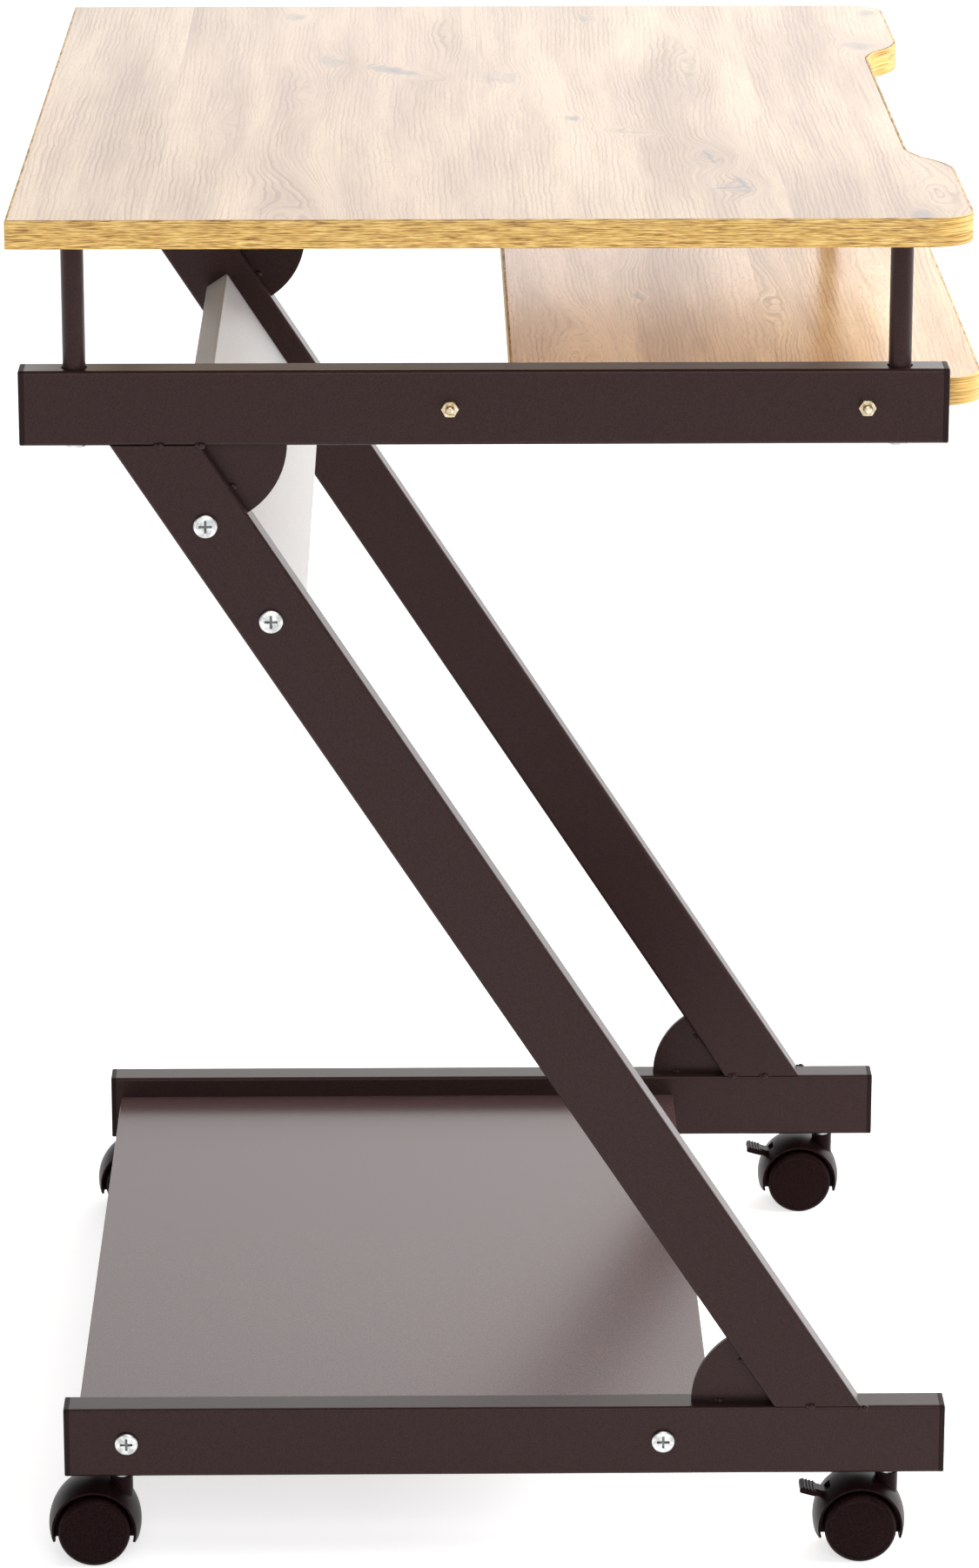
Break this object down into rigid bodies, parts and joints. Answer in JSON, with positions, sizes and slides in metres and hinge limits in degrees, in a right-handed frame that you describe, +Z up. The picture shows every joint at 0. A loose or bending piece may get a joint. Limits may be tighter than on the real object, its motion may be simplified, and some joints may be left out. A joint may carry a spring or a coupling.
{
  "type": "computer desk with keyboard tray",
  "caption": "Mobile computer desk: slanted tube side frames on twin-wheel casters carry a notched tabletop on posts, a sliding keyboard tray, a back panel and a bottom shelf.",
  "frame": {"origin": "centre of the bounding box on the floor, under the desk as it stands in use with the tray partly out", "axes": "+X across the desk to its right as the user faces it, +Y away from the user towards the back, +Z up"},
  "size_m": [0.65, 0.509, 0.765],
  "materials": {
    "frame_paint": "satin powder coat",
    "cap_plastic": "moulded, satin",
    "oak_board": "pale oak laminate, satin",
    "oak_band": "golden oak edge band, satin",
    "panel_board": "light grey laminate, satin",
    "shelf_board": "taupe laminate, satin",
    "slide_steel": "rolled, zinc plated",
    "zinc_steel": "bright zinc plated",
    "caster_plastic": "moulded, satin"
  },
  "bodies": {
    "frame": {"left_top_rail": "frame_paint", "right_top_rail": "frame_paint", "left_bottom_rail": "frame_paint", "right_bottom_rail": "frame_paint", "left_leg": "frame_paint", "right_leg": "frame_paint", "upper_gussets": "frame_paint", "lower_gussets": "frame_paint", "left_front_post": "frame_paint", "left_rear_post": "frame_paint", "right_front_post": "frame_paint", "right_rear_post": "frame_paint", "top_rail_caps": "cap_plastic", "bottom_rail_caps": "cap_plastic", "tabletop": "oak_board", "tabletop_edge_band": "oak_band", "back_panel": "panel_board", "bottom_shelf": "shelf_board", "left_slide_outer": "slide_steel", "right_slide_outer": "slide_steel", "post_bolts": "zinc_steel", "tabletop_inserts": "zinc_steel", "slide_bolts": "zinc_steel", "slide_nuts": "zinc_steel", "connector_bolts": "zinc_steel", "barrel_nuts": "zinc_steel", "caster_nuts": "zinc_steel", "front_left_caster_stem": "zinc_steel", "front_right_caster_stem": "zinc_steel", "rear_left_caster_stem": "zinc_steel", "rear_right_caster_stem": "zinc_steel"},
    "tray": {"keyboard_tray": "oak_board", "tray_edge_band": "oak_band", "left_slide_inner": "slide_steel", "right_slide_inner": "slide_steel", "tray_screws": "zinc_steel"},
    "left_ball_row": {"left_ball_cage": "slide_steel", "left_slide_balls": "slide_steel"},
    "right_ball_row": {"right_ball_cage": "slide_steel", "right_slide_balls": "slide_steel"},
    "front_left_caster": {"front_left_caster_hood": "caster_plastic", "front_left_caster_axle": "zinc_steel"},
    "front_left_outer_wheel": {"front_left_outer_wheel": "caster_plastic"},
    "front_left_inner_wheel": {"front_left_inner_wheel": "caster_plastic"},
    "front_left_brake": {"front_left_brake_lever": "caster_plastic"},
    "front_right_caster": {"front_right_caster_hood": "caster_plastic", "front_right_caster_axle": "zinc_steel"},
    "front_right_outer_wheel": {"front_right_outer_wheel": "caster_plastic"},
    "front_right_inner_wheel": {"front_right_inner_wheel": "caster_plastic"},
    "front_right_brake": {"front_right_brake_lever": "caster_plastic"},
    "rear_left_caster": {"rear_left_caster_hood": "caster_plastic", "rear_left_caster_axle": "zinc_steel"},
    "rear_left_outer_wheel": {"rear_left_outer_wheel": "caster_plastic"},
    "rear_left_inner_wheel": {"rear_left_inner_wheel": "caster_plastic"},
    "rear_right_caster": {"rear_right_caster_hood": "caster_plastic", "rear_right_caster_axle": "zinc_steel"},
    "rear_right_outer_wheel": {"rear_right_outer_wheel": "caster_plastic"},
    "rear_right_inner_wheel": {"rear_right_inner_wheel": "caster_plastic"}
  },
  "joints": [
    {"name": "tray_slide", "type": "slide", "parent": "frame", "child": "tray", "axis": [0, -1, 0], "range_m": [-0.044, 0.141]},
    {"name": "left_ball_row_slide", "type": "slide", "parent": "frame", "child": "left_ball_row", "axis": [0, -1, 0], "range_m": [-0.022, 0.0705]},
    {"name": "right_ball_row_slide", "type": "slide", "parent": "frame", "child": "right_ball_row", "axis": [0, -1, 0], "range_m": [-0.022, 0.0705]},
    {"name": "front_left_swivel", "type": "hinge", "parent": "frame", "child": "front_left_caster", "pos_m": [-0.265, -0.213, 0.035], "axis": [0, 0, 1], "continuous": true},
    {"name": "front_left_outer_spin", "type": "hinge", "parent": "front_left_caster", "child": "front_left_outer_wheel", "pos_m": [-0.265, -0.198, 0.02], "axis": [1, 0, 0], "continuous": true},
    {"name": "front_left_inner_spin", "type": "hinge", "parent": "front_left_caster", "child": "front_left_inner_wheel", "pos_m": [-0.265, -0.198, 0.02], "axis": [1, 0, 0], "continuous": true},
    {"name": "front_left_brake_pivot", "type": "hinge", "parent": "front_left_caster", "child": "front_left_brake", "pos_m": [-0.265, -0.19, 0.0315], "axis": [1, 0, 0], "range_deg": [0, 18]},
    {"name": "front_right_swivel", "type": "hinge", "parent": "frame", "child": "front_right_caster", "pos_m": [0.265, -0.213, 0.035], "axis": [0, 0, 1], "continuous": true},
    {"name": "front_right_outer_spin", "type": "hinge", "parent": "front_right_caster", "child": "front_right_outer_wheel", "pos_m": [0.265, -0.198, 0.02], "axis": [1, 0, 0], "continuous": true},
    {"name": "front_right_inner_spin", "type": "hinge", "parent": "front_right_caster", "child": "front_right_inner_wheel", "pos_m": [0.265, -0.198, 0.02], "axis": [1, 0, 0], "continuous": true},
    {"name": "front_right_brake_pivot", "type": "hinge", "parent": "front_right_caster", "child": "front_right_brake", "pos_m": [0.265, -0.19, 0.0315], "axis": [1, 0, 0], "range_deg": [0, 18]},
    {"name": "rear_left_swivel", "type": "hinge", "parent": "frame", "child": "rear_left_caster", "pos_m": [-0.265, 0.211, 0.035], "axis": [0, 0, 1], "continuous": true},
    {"name": "rear_left_outer_spin", "type": "hinge", "parent": "rear_left_caster", "child": "rear_left_outer_wheel", "pos_m": [-0.265, 0.226, 0.02], "axis": [1, 0, 0], "continuous": true},
    {"name": "rear_left_inner_spin", "type": "hinge", "parent": "rear_left_caster", "child": "rear_left_inner_wheel", "pos_m": [-0.265, 0.226, 0.02], "axis": [1, 0, 0], "continuous": true},
    {"name": "rear_right_swivel", "type": "hinge", "parent": "frame", "child": "rear_right_caster", "pos_m": [0.265, 0.211, 0.035], "axis": [0, 0, 1], "continuous": true},
    {"name": "rear_right_outer_spin", "type": "hinge", "parent": "rear_right_caster", "child": "rear_right_outer_wheel", "pos_m": [0.265, 0.226, 0.02], "axis": [1, 0, 0], "continuous": true},
    {"name": "rear_right_inner_spin", "type": "hinge", "parent": "rear_right_caster", "child": "rear_right_inner_wheel", "pos_m": [0.265, 0.226, 0.02], "axis": [1, 0, 0], "continuous": true}
  ],
  "couplings": [
    {"joint": "left_ball_row_slide", "follows": "tray_slide", "ratio": 0.5},
    {"joint": "right_ball_row_slide", "follows": "tray_slide", "ratio": 0.5}
  ]
}
